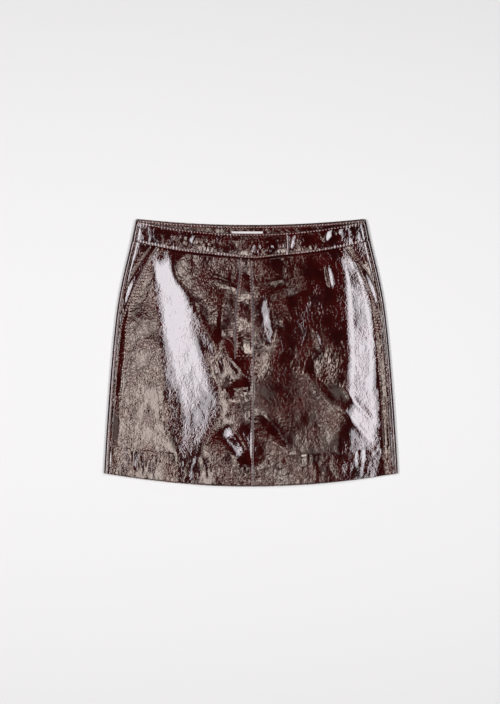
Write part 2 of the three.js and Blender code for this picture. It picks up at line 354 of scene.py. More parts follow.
def rolled(d, radius):
    # how far a turned edge falls away at distance d from it
    near = np.clip(radius - d, 0, radius)
    return radius - np.sqrt(radius**2 - near**2)


def groove(d, at, width, depth):
    return -depth * np.exp(-(((d - at) / width) ** 2))


# Front panels

front = {
    "step": 2.2,
    "rowStep": 1.4,
    "fine": 0.45,
    "hemTurning": 46,
    "turningRise": 0.22,
    "hemWave": 0.2,
    "hemWaveWidth": 11,
    "stitchIn": 1.8,
    "secondStitchIn": 8,
    "grooveWidth": 1.1,
    "grooveDepth": 0.16,
    "edgeRadius": 0.9,
    "centreRadius": 0.35,
    "pucker": 0.11,
    "puckerPitch": 6,
    "puckerReach": 7,
}
# width and depth of the valley along each kind of seam
seams = {
    "side": (1.2, 0.25),
    "waist": (1.6, 0.7),
    "facing": (1.6, 0.3),
    "band": (1.4, 0.2),
    "centre": (1.0, 0.35),
}
# real stitches lie about 3 mm apart; these are wider spaced so that each one shows in the picture
holes = {"pitch": 4.8, "bead": 0.45, "reach": 1.9}
pocket = {
    "mouth": 148,
    "end": 33,
    "bow": 1.5,
    "under": 16,
    "facingEnd": 40,
    "stepWidth": 14,
    "lean": 0.91,  # cosine of the mouth's slant
}
fly = {
    "bottom": -7.5,
    "rise": 1.1,
    "edge": 1.2,
    "stitchIn": 2.4,
    "grooveDepth": 0.06,
    "bulge": 0.12,
    "bulgeWidth": 12,
    "swell": 0.27,
    "swellPitch": 43,
}


def pocketX(y):
    top = lineY(lines["seamFront"], pocket["mouth"])
    down = np.clip((top - y) / (top - pocket["end"]), 0, 1)
    end = half(pocket["end"]) - form["seamInset"]
    return pocket["mouth"] + (end - pocket["mouth"]) * (1 - (1 - down) ** pocket["bow"])


def panelEdge(line):
    seam = seamX(line)
    x = seam
    for n in range(8):
        y = lineY(line, x)
        x = np.where(y > pocket["end"], np.minimum(seam, pocketX(y)), seam)
    return x - form["seamGap"] / 2


def sideDistance(x, y):
    # from a front panel's side, at the pocket mouth or below it at the side seam
    seam = toSideSeam(x, y)
    mouth = (pocketX(y) - np.abs(x)) * pocket["lean"]
    return np.where(y > pocket["end"], np.minimum(seam, mouth), seam)


def puckers(along, d, at, seed, amount=1.0):
    f = front
    wide = ripples(along, d * 0.35, f["puckerPitch"], seed)
    narrow = ripples(along, d, f["puckerPitch"] * 0.55, seed + 1)
    return amount * f["pucker"] * (wide + 0.5 * narrow) * np.exp(-np.abs(d - at) / f["puckerReach"])


def beads(along, d, at):
    # the leather is drawn in at each stitch hole and stands up between them
    s = holes
    wave = 0.5 - 0.5 * np.cos(2 * math.pi * along / s["pitch"])
    uneven = 0.75 + 0.35 * ripples(along, 0 * along, 19, 71)
    return s["bead"] * wave * uneven * np.exp(-(((d - at) / s["reach"]) ** 2))


def hemPuckers(x, toHem):
    # upright waves where the hem is turned up, strongest at the fold line of the turning
    f = front
    wave = ripples(x, toHem * 0.3, f["hemWaveWidth"], 61)
    wave = wave + 0.6 * ripples(x, toHem * 0.4, f["hemWaveWidth"] * 6 / 11, 62)
    return f["hemWave"] * wave * (0.35 + 0.65 * soft(toHem / 30))


def flyHeight(x, y):
    across = x - flyLeft(y)
    up = y - fly["bottom"]
    e = fly["edge"]
    rise = fly["rise"] * soft((across + e) / e) * soft((up + 1.5) / 1.5)
    nearest = np.minimum(across, up)
    line = groove(nearest, fly["stitchIn"], 1.0, fly["grooveDepth"]) * (nearest > 0)
    line = line + 0.5 * beads(y, nearest, fly["stitchIn"])
    swell = fly["swell"] * np.sin(2 * math.pi * (y - 3) / fly["swellPitch"])
    middle = (across - fly["bulgeWidth"]) / fly["bulgeWidth"]
    bulge = (fly["bulge"] + swell) * np.exp(-(middle**4)) * soft(up / 8)
    return rise + line + bulge * (x < centreFront(y))


def panelHeight(x, y, side):
    # outer face of a front panel; side is -1 for the left one and 1 for the right one
    f = front
    toHem = y - lineY(lines["hemFront"], x)
    toWaist = lineY(lines["seamFront"], x) - y
    toSide = sideDistance(x, y)
    z = skin(x, y)
    turning = soft((f["hemTurning"] - toHem) / 6 + 0.5)
    z = z + f["turningRise"] * turning
    z = z + hemPuckers(x, toHem) * turning
    z = z + puckers(x, toWaist, 0, 23)
    z = z + groove(toWaist, 0, *seams["waist"])
    mouth = soft((y - pocket["end"]) / 6)
    z = z + mouth * groove(toSide, f["stitchIn"], f["grooveWidth"], f["grooveDepth"])
    z = z + mouth * groove(toSide, f["secondStitchIn"], f["grooveWidth"], f["grooveDepth"])
    z = z + mouth * (puckers(y, toSide, 5, 25, 0.6) + beads(y, toSide, f["stitchIn"]))
    z = z + mouth * beads(y, toSide, f["secondStitchIn"])
    z = z + (1 - mouth) * (puckers(y, toSide, 0, 27, 0.7) + groove(toSide, 0, *seams["side"]))
    toCentre = (centreFront(y) - x) * -side
    if side < 0:
        z = z + flyHeight(x, y)
        below = soft((fly["bottom"] - 2 - y) / 4)
        z = z + below * groove(toCentre, 2, *seams["centre"])
        z = z + below * (puckers(y, toCentre, 2, 29, 0.6) + 0.6 * beads(y, toCentre, 2))
    else:
        z = z + puckers(y, toCentre, 0, 31, 0.6)
        z = z - 0.1 * np.exp(-((toCentre / 1.2) ** 2))
    return z


def frontRows():
    f = front
    low = lineY(lines["hemFront"], 0)
    high = lineY(lines["seamFront"], 0)
    stops = [low, low + f["hemTurning"], fly["bottom"], high]
    parts = []
    for n, (a, b) in enumerate(zip(stops, stops[1:])):
        fine = f["fine"] * (2 if n else 1)
        parts.append(a + spaced(b - a, f["rowStep"], fine)[:-1])
    y = np.append(np.concatenate(parts), high)
    return (y - low) / (high - low)


def panelLines(shares):
    line = lineBetween(lines["hemFront"], lines["seamFront"], shares[:, None])
    line[0] = line[0] - np.where(shares[:, None] == 1, form["seamGap"], 0)
    return line


def frontPanel(side):
    f = front
    line = panelLines(frontRows())
    centre = lineY(line, 0.0)
    edge = panelEdge(line)
    if side < 0:
        atFly = flyLeft(centre)
        middle = centreFront(centre) - form["seamGap"] / 2
        toFly = spread(190, f["step"], f["fine"], reach=11)
        overFly = spread(26, 1.6, 0.4, reach=3)
        x = np.concatenate([mix(-edge, atFly, toFly), mix(atFly, middle, overFly)[:, 1:]], 1)
    else:
        middle = centreFront(centre) + form["seamGap"] / 2
        x = mix(middle, edge, spread(206, f["step"], f["fine"], reach=11))
    y = lineY(line, x)
    toHem = y - lineY(lines["hemFront"], x)
    toSide = edge - np.abs(x)
    toCentre = np.abs(x - middle)
    edges = np.maximum(rolled(toHem, f["edgeRadius"]), rolled(toCentre, f["centreRadius"]))
    mouth = soft((y - pocket["end"]) / 6)
    edges = np.maximum(edges, mouth * rolled(toSide, f["edgeRadius"]))
    base = skin(x, y)
    if side < 0:
        base = base + 0.9 * fly["rise"] * soft((x - flyLeft(y)) / 3) * soft((y - fly["bottom"]) / 3)
    name = "frontLeft" if side < 0 else "frontRight"
    outer = stack(x, y, panelHeight(x, y, side) - edges)
    return wallMesh(name, outer, stack(x, y, base), form["leather"], clothAt(x, y))


print("front panels")
frontLeft = frontPanel(-1)
frontRight = frontPanel(1)


# Pocket facings, and the strip behind the fly

def facingHeight(x, y):
    across = np.abs(x) - pocketX(y)
    step = 1 - soft(across / pocket["stepWidth"])
    toSeam = toSideSeam(x, y)
    toWaist = lineY(lines["seamFront"], x) - y
    z = skin(x, y) - (form["leather"] + form["layerGap"]) * step
    return z + groove(toSeam, 0, *seams["facing"]) + puckers(y, toSeam, 0, 33) + puckers(x, toWaist, 0, 35)


def pocketFacing(side):
    low = (pocket["facingEnd"] - lines["hemFront"][0]) / (lines["seamFront"][0] - lines["hemFront"][0])
    line = panelLines(mix(low, 1, spread(138, 1.6, 0.5)))
    outerX = seamX(line) - form["seamGap"]
    mouth = pocketX(lineY(line, panelEdge(line)))
    x = side * mix(mouth - pocket["under"], outerX, spread(46, 1.4, 0.5))
    y = lineY(line, x)
    across = np.abs(x) - pocketX(y)
    step = 1 - soft(across / pocket["stepWidth"])
    base = skin(x, y) - (form["leather"] + form["layerGap"]) * step
    name = "pocketFacingLeft" if side < 0 else "pocketFacingRight"
    outer = stack(x, y, facingHeight(x, y))
    return wallMesh(name, outer, stack(x, y, base), form["leather"], clothAt(x, y), side < 0)


print("pocket facings and fly shield")
facingLeft = pocketFacing(-1)
facingRight = pocketFacing(1)

shield = {"left": -27, "right": 16, "bottom": -16}


def flyShield():
    x = np.linspace(shield["left"], shield["right"], 20)[None, :]
    top = lineY(lineBetween(lines["hemFront"], lines["seamFront"], 0.99), x)
    y = mix(shield["bottom"], top, np.linspace(0, 1, 80)[:, None])
    place = stack(x, y, skin(x, y) - form["leather"] - form["layerGap"])
    return wallMesh("flyShield", place, place, form["leather"], place[..., :2])


flyStrip = flyShield()


# Back, which wraps round both side folds

back = {
    "step": 3.0,
    "bottomStep": 6.0,
    "bottomWidth": 430,
    "flangeSteps": 7,
    "foldSteps": 12,
    "dartX": 82,
    "dartLength": 105,
    "dartDepth": 0.5,
    "dartWidth": 1.6,
}


def roundStations():
    # left side seam, left fold, bottom, right fold and right side seam, as (kind, side, place)
    flange = [("flange", s) for s in np.linspace(0, 1, back["flangeSteps"], endpoint=False)]
    fold = [("fold", a) for a in np.linspace(90, -90, back["foldSteps"] + 1)]
    count = round(back["bottomWidth"] / back["bottomStep"])
    bottom = [("bottom", 0, s) for s in np.linspace(0, 1, count + 1)[1:-1]]
    left = [(kind, -1, s) for kind, s in flange + fold]
    right = [(kind, 1, s) for kind, s in (flange + fold)[::-1]]
    return left + bottom + right


def roundGrid(backLine, frontLine, lift, stations, surface):
    # columns of (x, y, z) and of cloth places round the back, one for each station
    w = half(backLine[0])
    radius = foldRadius(backLine[0])
    grid, cloth = [], []
    for kind, side, s in stations:
        if kind == "bottom":
            x = mix(radius - w, w - radius, s)
            y = lineY(backLine, x)
            z = 0 * x
            u = x
        elif kind == "flange":
            x = side * mix(seamX(frontLine) + form["seamGap"] / 2, w - radius, s)
            y = lineY(frontLine, x)
            z = surface(x, y) + lift
            u = side * (w - radius + math.pi * radius) + (w - radius) * side - x
        else:
            a = math.radians(s)
            x = side * (w - radius + radius * math.cos(a))
            toFront = soft((s + 90) / 180)
            y = mix(lineY(backLine, x), lineY(frontLine, x), toFront)
            z = radius + (radius + lift * max(math.sin(a), 0)) * math.sin(a)
            u = side * (w - radius + radius * (a + math.pi / 2))
        grid.append(stack(x, y, z))
        cloth.append(clothAt(u, y))
    return np.concatenate(grid, 1), np.concatenate(cloth, 1)


def backDarts(x, y):
    b = back
    toWaist = lineY(lines["seamBack"], x) - y
    depth = b["dartDepth"] * soft(1 - toWaist / b["dartLength"])
    return depth * np.exp(-(((np.abs(x) - b["dartX"]) / b["dartWidth"]) ** 2))


def backPanel():
    low, high = lineY(lines["hemFront"], 0), lineY(lines["seamFront"], 0)
    shares = spread(high - low, back["step"], front["fine"])
    frontLine = panelLines(shares)
    backLine = lineBetween(lines["hemBack"], lines["seamBack"], shares[:, None])
    backLine[0] = backLine[0] - np.where(shares[:, None] == 1, form["seamGap"], 0)
    stations = roundStations()
    base, cloth = roundGrid(backLine, frontLine, 0, stations, skin)
    x, y, z = base[..., 0], base[..., 1], base[..., 2]
    kind = np.array([0 if s[0] == "bottom" else 1 for s in stations])[None, :]
    outer = base.copy()
    toSeam = -toSideSeam(x, y)
    onTop = (z > foldRadius(y)) * kind
    outer[..., 2] += onTop * (groove(toSeam, 0, *seams["side"]) + puckers(y, toSeam, 0, 37, 0.7))
    outer[..., 2] += backDarts(x, y) * (1 - kind)
    return wallMesh("backPanel", outer, base, form["leather"], cloth, True)


print("back")
backPiece = backPanel()


# Waistband

band = {
    "lift": 0.5,
    "height": 32,
    "step": 1.0,
    "fine": 0.4,
    "edgeRadius": 1.1,
    "topStitch": 2.2,
    "lowStitch": 2.0,
    "tabEnd": 60,
    "rampFrom": -62,
    "rampTo": -12,
    "underlap": 2,
    "tabStitch": 2.4,
    "wrinkle": 0.16,
    "wrinkleSize": 17,
    "fineWrinkleSize": 9,
    "grooveDepth": 0.35,
    "bulge": 0.5,
}
tabLift = band["lift"] + form["band"] + form["layerGap"]

studAt = {"x": 47.5, "y": 170.4}

# Creases across the front band, most of them beside the tab's end and on the right
bandCreases = table(ridgeColumns, [
    (12, 172, 4, 158, 7, 6, 2.4),  # two at the foot of the tab
    (31, 172, 24, 160, 7, 6, 2.2),
    (66, 190, 60, 164, 5, 5, 1.1),  # beside the tab's end
    (84, 198, 80, 174, 5, 6, 0.5),
    (124, 202, 117, 180, 5, 6, 1.0),
    (143, 206, 137, 190, 5, 5, 0.6),
    (-78, 194, -92, 176, 6, 6, 0.7),  # three slanting ones on the left
    (-64, 192, -80, 170, 6, 6, 0.6),
    (-46, 188, -54, 172, 5, 5, 0.6),
    (164, 212, 158, 180, 24, 10, -0.6),  # hollows where the band turns round the sides
    (-172, 212, -166, 180, 10, 24, -0.6),
])


def bandLines(shares):
    return lineBetween(lines["seamFront"], lines["topFront"], shares[:, None])


def bandWork(x, y, calm):
    # wrinkles and stitched grooves of the front band; calm is 1 where the tab is stiffened
    b = band
    toTop = lineY(lines["topFront"], x) - y
    toSeam = y - lineY(lines["seamFront"], x)
    across = np.minimum(toTop, toSeam)
    wrinkle = 0.8 * ripples(x, y, b["wrinkleSize"], 41, 1.6, 25)
    wrinkle = wrinkle + 0.35 * ripples(x, y, b["fineWrinkleSize"], 42, 1.8, -20)
    z = (b["wrinkle"] * wrinkle + ridges(bandCreases, x, y)) * soft(across / 6) * (1 - 0.5 * calm)
    z = z + b["bulge"] * soft(across / 13)
    z = z + groove(toTop, b["topStitch"], 1.6, b["grooveDepth"]) + beads(x, toTop, b["topStitch"])
    z = z + groove(toSeam, b["lowStitch"], 1.6, b["grooveDepth"]) + beads(x, toSeam, b["lowStitch"])
    puff = puckers(x, toTop, b["topStitch"], 43) + puckers(x, toSeam, b["lowStitch"], 45, 1.3)
    return z + puff * (1 - 0.6 * calm)


def bandBase(x, y, left):
    b = band
    ramp = soft((x - b["rampFrom"]) / (b["rampTo"] - b["rampFrom"])) if left else 0
    return skin(x, y) + mix(b["lift"], tabLift, ramp)


def bandHeight(x, y, left):
    calm = soft((x - band["rampFrom"]) / 12) if left else 0 * x
    z = bandBase(x, y, left) + bandWork(x, y, calm)
    if left:
        z = z + groove(band["tabEnd"] - x, band["tabStitch"], 1.0, band["grooveDepth"])
    return z


def waistband(left):
    b = band
    line = bandLines(spread(b["height"], 1.1, b["fine"], reach=4))
    if left:
        start, end = form["seamGap"] / 2 - seamX(line), b["tabEnd"] + 0 * line[0]
    else:
        start, end = b["underlap"] + 0 * line[0], seamX(line) - form["seamGap"] / 2
    length = 242 if left else 180
    x = mix(start, end, spread(length, b["step"], b["fine"], reach=4))
    y = lineY(line, x)
    toTop = lineY(lines["topFront"], x) - y
    toSeam = y - lineY(lines["seamFront"], x)
    fromEnd = end - x if left else x - start
    nearest = np.minimum(np.minimum(toTop, toSeam), fromEnd)
    z = bandHeight(x, y, left) - rolled(nearest, b["edgeRadius"])
    seam = x - start if left else end - x
    z = z + groove(seam, 0, *seams["band"])
    name = "waistbandLeft" if left else "waistbandRight"
    outer = stack(x, y, z)
    base = stack(x, y, bandBase(x, y, left))
    return wallMesh(name, outer, base, form["band"], clothAt(x, y))


print("waistband")
waistLeft = waistband(True)
waistRight = waistband(False)


def backBand():
    shares = spread(band["height"], 1.3, band["fine"], reach=4)
    frontLine = bandLines(shares)
    backLine = lineBetween(lines["seamBack"], lines["topBack"], shares[:, None])
    stations = roundStations()
    base, cloth = roundGrid(backLine, frontLine, band["lift"], stations, skin)
    x, y, z = base[..., 0], base[..., 1], base[..., 2]
    kind = np.array([0 if s[0] == "bottom" else 1 for s in stations])[None, :]
    onTop = (z > foldRadius(y)) * kind
    toSeam = -toSideSeam(x, y)
    outer = base.copy()
    outer[..., 2] += onTop * (bandWork(x, y, 0) * soft(toSeam / 3) + groove(toSeam, 0, *seams["band"]))
    return wallMesh("waistbandBack", outer, base, form["leather"], cloth, True)


waistBack = backBand()

facing = {"low": 0.08, "high": 0.97, "stitchIn": 3.0}


def facingLines(shares):
    low = lineBetween(lines["seamBack"], lines["topBack"], facing["low"])
    high = lineBetween(lines["seamBack"], lines["topBack"], facing["high"])
    return lineBetween(low, high, shares)


def facingTop(x, y):
    high = lineBetween(lines["seamBack"], lines["topBack"], facing["high"])
    toTop = lineY(high, x) - y
    z = 2 * form["leather"] + form["seamGap"] + 0.12 * ripples(x, y, 14, 51)
    z = z + groove(toTop, facing["stitchIn"], 1.4, 0.3) + beads(x, toTop, facing["stitchIn"])
    return z + 0.4 * puckers(x, toTop, facing["stitchIn"], 53)


def bandFacing():
    line = facingLines(spread(31, 1.4, 0.5)[:, None])
    reach = half(line[0]) - foldRadius(line[0]) - form["layerGap"]
    x = mix(-reach, reach, spread(372, 1.0, 0.6))
    y = lineY(line, x)
    high = lineBetween(lines["seamBack"], lines["topBack"], facing["high"])
    edge = rolled(lineY(high, x) - y, 0.7)
    base = 2 * form["leather"] + form["seamGap"] + 0 * x
    outer = stack(x, y, facingTop(x, y) - edge)
    return wallMesh("waistbandFacing", outer, stack(x, y, base), form["leather"], clothAt(x, y))


backFacing = bandFacing()

label = {"left": -31, "right": 19, "top": 194, "bottom": 178, "edge": 1.2, "rib": 1.1}


def waistLabel():
    b = label
    x = mix(b["left"], b["right"], spread(50, 0.8, 0.3, reach=2))[None, :]
    y = mix(b["bottom"], b["top"], spread(16, 0.6, 0.3, reach=2))[:, None]
    top = 2 * form["leather"] + 2 * form["seamGap"] + form["label"]
    edge = np.minimum(np.minimum(x - b["left"], b["right"] - x), np.minimum(y - b["bottom"], b["top"] - y))
    z = top - rolled(edge, 0.5) - 0.15 * np.exp(-(((edge - b["edge"]) / 0.4) ** 2))
    z = z + 0.03 * np.sin(2 * math.pi * y / b["rib"])
    flat = stack(x, y, top)
    return wallMesh("waistLabel", stack(x, y, z), flat, form["label"], flat[..., :2])


print("label and stud")
labelPiece = waistLabel()


# Press stud

stud = {"radius": 5.6, "height": 2.1, "rim": 0.55, "shoulder": 1.65}


def studProfile():
    # radius and height from the underside's middle, over the rolled rim, to the crown
    s = stud
    rim = []
    for a in np.radians(np.linspace(-90, 90, 9)):
        rim.append((s["radius"] - s["rim"] + s["rim"] * math.cos(a), s["rim"] + s["rim"] * math.sin(a)))
    shoulder = s["radius"] - s["rim"] * 1.6
    crown = []
    for r in np.linspace(shoulder, 0.02, 22):
        crown.append((r, s["height"] - (s["height"] - s["shoulder"]) * (r / shoulder) ** 2))
    return [(0.02, 0)] + rim + crown


def studCap():
    s = stud
    tabTop = lambda x, y: float(frontForm(np.array(x), np.array(y))) + tabLift
    tilt = np.array([
        tabTop(studAt["x"] - 1, studAt["y"]) - tabTop(studAt["x"] + 1, studAt["y"]),
        tabTop(studAt["x"], studAt["y"] - 1) - tabTop(studAt["x"], studAt["y"] + 1),
        2,
    ])
    tilt /= np.linalg.norm(tilt)
    side = np.cross([0, 1, 0], tilt)
    side /= np.linalg.norm(side)
    ahead = np.cross(tilt, side)
    centre = np.array([studAt["x"], studAt["y"], tabTop(studAt["x"], studAt["y"])])
    centre = centre + tilt * form["seamGap"]
    turns = 48
    points, faces = [], []
    profile = studProfile()
    for r, h in profile:
        for k in range(turns):
            a = 2 * math.pi * k / turns
            points.append((centre + side * r * math.cos(a) + ahead * r * math.sin(a) + tilt * h) * 0.001)
    for j in range(len(profile) - 1):
        for k in range(turns):
            n = (k + 1) % turns
            faces.append([j * turns + k, j * turns + n, (j + 1) * turns + n, (j + 1) * turns + k])
    faces.append([k for k in range(turns)][::-1])
    faces.append([(len(profile) - 1) * turns + k for k in range(turns)])
    mesh = bpy.data.meshes.new("studCap")
    mesh.from_pydata([tuple(p) for p in points], [], faces)
    mesh.polygons.foreach_set("use_smooth", np.ones(len(mesh.polygons), bool))
    mesh.update()
    piece = bpy.data.objects.new("studCap", mesh)
    bpy.context.collection.objects.link(piece)
    return piece


studPiece = studCap()


# Materials

def linear(colour):
    # an sRGB hex colour as linear RGBA
    parts = [int(colour[n:n + 2], 16) / 255 for n in (1, 3, 5)]
    return [c / 12.92 if c <= 0.04045 else ((c + 0.055) / 1.055) ** 2.4 for c in parts] + [1]


def add(tree, kind, settings=None, links=None):
    # one node, with its settings, and with its inputs set to values or linked to other nodes' outputs
    node = tree.nodes.new(kind)
    for key, value in (settings or {}).items():
        setattr(node, key, value)
    for key, value in (links or {}).items():
        if isinstance(value, bpy.types.NodeSocket):
            tree.links.new(value, node.inputs[key])
        else:
            node.inputs[key].default_value = value
    return node


def newMaterial(name):
    material = bpy.data.materials.new(name)
    material.use_nodes = True
    tree = material.node_tree
    tree.nodes.clear()
    shader = add(tree, "ShaderNodeBsdfPrincipled")
    output = add(tree, "ShaderNodeOutputMaterial")
    tree.links.new(shader.outputs[0], output.inputs[0])
    return material, tree, shader


leatherLook = {
    "colour": "#2C0504",
    "worn": "#3A0A08",
    "deep": "#200202",
    "roughness": 0.12,
    "specular": 0.05,
    "coatRoughness": 0.055,
    "coatIor": 1.65,
    "grain": 2.3,
    "grainDepth": 0.095,
    "crackle": 5.5,
    "crackleDepth": 0.03,
    "crackleWidth": 0.12,
    "crease": 4.0,
    "creaseDepth": 0.1,
    "drift": 14,
    "driftReach": 9,
    "lean": -14,
    "stretch": 0.75,
    "patch": 30,
    "smoothTo": 0.4,
    "wornFrom": 0.58,
    "least": 0.3,
}


def patentLeather():
    # crinkled patent leather: a dark oxblood skin under a clear lacquer, with patches of fine
    # creases where it was worn and smooth ones between them; the real grain is nearer 1 mm, and
    # is drawn twice as coarse so that it shows in the picture
    k = leatherLook
    material, tree, shader = newMaterial("crinkledPatentLeather")
    place = add(tree, "ShaderNodeUVMap", {"uv_map": "cloth"}).outputs[0]
    drift = add(tree, "ShaderNodeTexNoise", None,
                {"Vector": place, "Scale": 1000 / k["drift"], "Detail": 3})
    reach = k["driftReach"] * 0.001
    bent = add(tree, "ShaderNodeVectorMath", {"operation": "MULTIPLY_ADD"},
               {0: drift.outputs["Color"], 1: (reach, reach, 0), 2: place}).outputs[0]
    lean = add(tree, "ShaderNodeMapping", None, {
        "Vector": bent,
        "Rotation": (0, 0, math.radians(k["lean"])),
        "Scale": (1, k["stretch"], 1),
    }).outputs[0]
    patch = add(tree, "ShaderNodeTexNoise", None,
                {"Vector": lean, "Scale": 1000 / k["patch"], "Detail": 3})
    worn = add(tree, "ShaderNodeMapRange", {"interpolation_type": "SMOOTHSTEP"},
               {"Value": patch.outputs[0], "From Min": k["smoothTo"], "From Max": k["wornFrom"],
                "To Min": k["least"], "To Max": 1.0})
    grain = add(tree, "ShaderNodeTexNoise", None,
                {"Vector": lean, "Scale": 1000 / k["grain"], "Detail": 0.3, "Roughness": 0.5})
    crease = add(tree, "ShaderNodeTexNoise", None,
                 {"Vector": lean, "Scale": 1000 / k["crease"], "Detail": 1, "Roughness": 0.5})
    cell = add(tree, "ShaderNodeTexVoronoi", {"feature": "DISTANCE_TO_EDGE"},
               {"Vector": lean, "Scale": 1000 / k["crackle"]})
    crackle = add(tree, "ShaderNodeMapRange", {"interpolation_type": "SMOOTHSTEP"},
                  {"Value": cell.outputs["Distance"], "From Max": k["crackleWidth"]})
    bump = None
    for height, depth in ((crease, "creaseDepth"), (crackle, "crackleDepth"), (grain, "grainDepth")):
        shown = add(tree, "ShaderNodeMath", {"operation": "MULTIPLY"},
                    {0: height.outputs[0], 1: worn.outputs[0]})
        below = {"Normal": bump.outputs[0]} if bump else {}
        bump = add(tree, "ShaderNodeBump", None,
                   {"Height": shown.outputs[0], "Distance": k[depth] * 0.001, **below})
    colour = add(tree, "ShaderNodeValToRGB", None, {"Fac": patch.outputs[0]})
    colour.color_ramp.elements[0].position = 0.35
    colour.color_ramp.elements[0].color = linear(k["deep"])
    colour.color_ramp.elements[1].position = 0.7
    colour.color_ramp.elements[1].color = linear(k["worn"])
    middle = colour.color_ramp.elements.new(0.5)
    middle.color = linear(k["colour"])
    tree.links.new(colour.outputs[0], shader.inputs["Base Color"])
    tree.links.new(bump.outputs[0], shader.inputs["Normal"])
    tree.links.new(bump.outputs[0], shader.inputs["Coat Normal"])
    shader.inputs["Roughness"].default_value = k["roughness"]
    shader.inputs["IOR"].default_value = 1.5
    shader.inputs["Specular IOR Level"].default_value = k["specular"]
    shader.inputs["Coat Weight"].default_value = 1
    shader.inputs["Coat Roughness"].default_value = k["coatRoughness"]
    shader.inputs["Coat IOR"].default_value = k["coatIor"]
    return material


def bandScale(pitch):
    # scale of a Wave Texture whose bands lie a pitch apart
    return 1000 * 2 * math.pi / 20 / pitch


# the thread's pale colour is a painted highlight: the real thread is dark oxblood like the leather
paintedHighlightThread = {"colour": "#AE8C82", "twist": 0.94, "bump": 0.1, "roughness": 0.3}


def thread():
    # bonded polyester thread, dark oxblood in truth but coloured paler here as a painted highlight for the
    # glints on the stitches;
    # its shine is broken by its twist, which is drawn about twice as coarse as real
    k = paintedHighlightThread
    material, tree, shader = newMaterial("bondedPolyesterThreadPaintedPale")
    place = add(tree, "ShaderNodeTexCoord").outputs["Object"]
    twist = add(tree, "ShaderNodeTexWave", None, {"Vector": place, "Scale": bandScale(k["twist"])})
    bump = add(tree, "ShaderNodeBump", None,
               {"Height": twist.outputs["Fac"], "Distance": k["bump"] * 0.001, "Strength": 0.4})
    tree.links.new(bump.outputs[0], shader.inputs["Normal"])
    shader.inputs["Base Color"].default_value = linear(k["colour"])
    shader.inputs["Roughness"].default_value = k["roughness"]
    return material


ribbonLook = {
    "colour": "#F4F3F0",
    "ribHollowShade": "#DEDCD8",
    "rib": 3.46,
    "bump": 0.1,
    "roughness": 0.45,
    "sheen": 0.3,
}


def satinRibbon():
    # white woven satin: a soft sheen across ribs, which are drawn wide enough to show, with painted shade
    # in the hollows between them
    k = ribbonLook
    material, tree, shader = newMaterial("wovenSatinRibbon")
    place = add(tree, "ShaderNodeUVMap", {"uv_map": "cloth"}).outputs[0]
    rib = add(tree, "ShaderNodeTexWave", {"bands_direction": "Y"},
              {"Vector": place, "Scale": bandScale(k["rib"])})
    # painted shade: the colour turns greyer in the hollows between the ribs
    colour = add(tree, "ShaderNodeMix", {"data_type": "RGBA"},
                 {"Factor": rib.outputs["Fac"], "A": linear(k["ribHollowShade"]), "B": linear(k["colour"])})
    bump = add(tree, "ShaderNodeBump", None,
               {"Height": rib.outputs["Fac"], "Distance": k["bump"] * 0.001, "Strength": 0.5})
    tree.links.new(colour.outputs["Result"], shader.inputs["Base Color"])
    tree.links.new(bump.outputs[0], shader.inputs["Normal"])
    shader.inputs["Roughness"].default_value = k["roughness"]
    shader.inputs["Sheen Weight"].default_value = k["sheen"]
    return material


enamelLook = {"colour": "#3A1012", "peel": 1.5, "peelDepth": 0.1, "roughness": 0.14, "coat": 0.8}


def enamel():
    # stove enamel over pressed brass: an even oxblood gloss with a faint orange-peel waviness
    k = enamelLook
    material, tree, shader = newMaterial("oxbloodStoveEnamel")
    place = add(tree, "ShaderNodeTexCoord").outputs["Object"]
    peel = add(tree, "ShaderNodeTexNoise", None,
               {"Vector": place, "Scale": 1000 / k["peel"], "Detail": 1})
    bump = add(tree, "ShaderNodeBump", None,
               {"Height": peel.outputs[0], "Distance": k["peelDepth"] * 0.001, "Strength": 0.25})
    tree.links.new(bump.outputs[0], shader.inputs["Normal"])
    shader.inputs["Base Color"].default_value = linear(k["colour"])
    shader.inputs["Roughness"].default_value = k["roughness"]
    shader.inputs["Coat Weight"].default_value = k["coat"]
    return material


print("materials")
leatherMaterial = patentLeather()
threadPaintedHighlightMaterial = thread()
labelMaterial = satinRibbon()
studMaterial = enamel()


# Stitching, laid along curves on the finished faces

stitch = {"length": 2.6, "width": 1.5, "depth": 1.2, "sink": 0.2, "seed": 7}


def sampled(x, y, height):
    x, y = np.broadcast_arrays(np.asarray(x, float), np.asarray(y, float))
    return stack(x, y, height(x, y) + stitch["depth"] / 2 - stitch["sink"])


